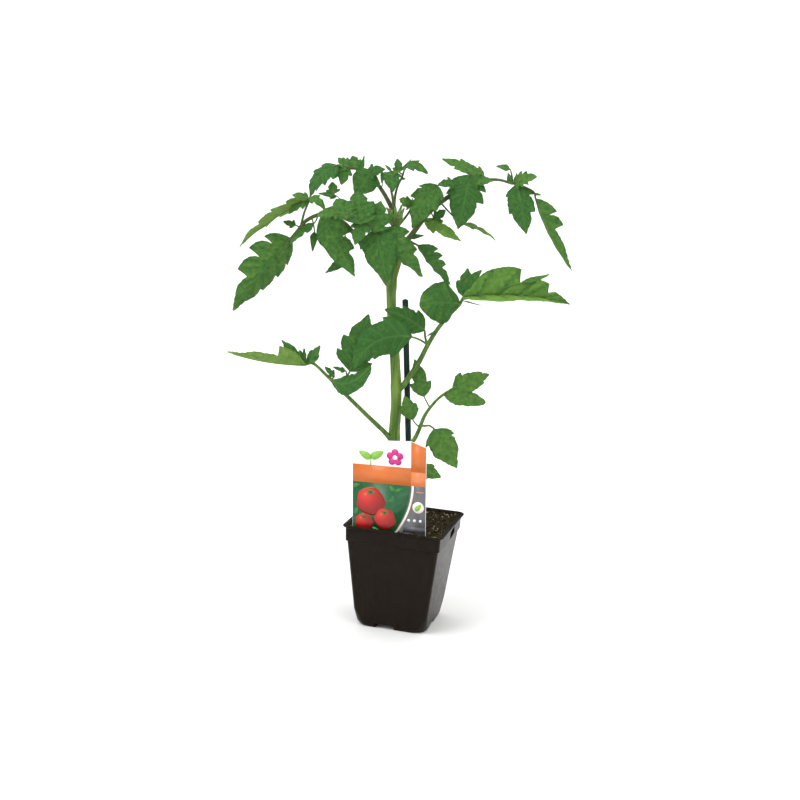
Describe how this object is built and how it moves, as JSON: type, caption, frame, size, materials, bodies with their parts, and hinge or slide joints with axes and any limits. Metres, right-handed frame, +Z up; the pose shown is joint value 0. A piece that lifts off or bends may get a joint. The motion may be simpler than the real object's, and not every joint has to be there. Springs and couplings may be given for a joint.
{
  "type": "tomato plant in a pot",
  "caption": "Young tomato plant with lobed compound leaves on an upright stem, in a small square black plastic nursery pot of soil with a slim stake and a plain picture label.",
  "frame": {"origin": "middle of the pot's base, on the surface it stands on", "axes": "+Z up along the stem, +X and +Y along the pot's faces, the labelled front face along -Y"},
  "size_m": [0.3272, 0.1244, 0.4776],
  "materials": {
    "pot_plastic": "thin black moulded plastic, satin",
    "soil": "moist dark peat compost, dull",
    "stake_plastic": "dark blue-green coated stake, satin",
    "label_card": "printed plastic card, satin",
    "stem_green": "hairy green stem, dull",
    "leaf_green": "hairy green leaf, dull",
    "young_leaf_green": "hairy pale green young leaf, dull"
  },
  "bodies": {
    "root": {"pot": "pot_plastic", "soil": "soil", "stake": "stake_plastic", "label": "label_card", "stem": "stem_green", "leaf_lower_left": "leaf_green", "leaf_right": "leaf_green", "leaf_lower_right": "leaf_green", "leaf_left": "leaf_green", "leaf_front": "leaf_green", "leaf_upper_left": "leaf_green", "leaf_upper_right": "leaf_green", "young_leaf_right": "young_leaf_green", "young_leaf_left": "young_leaf_green", "young_leaf_back": "young_leaf_green"}
  },
  "joints": []
}
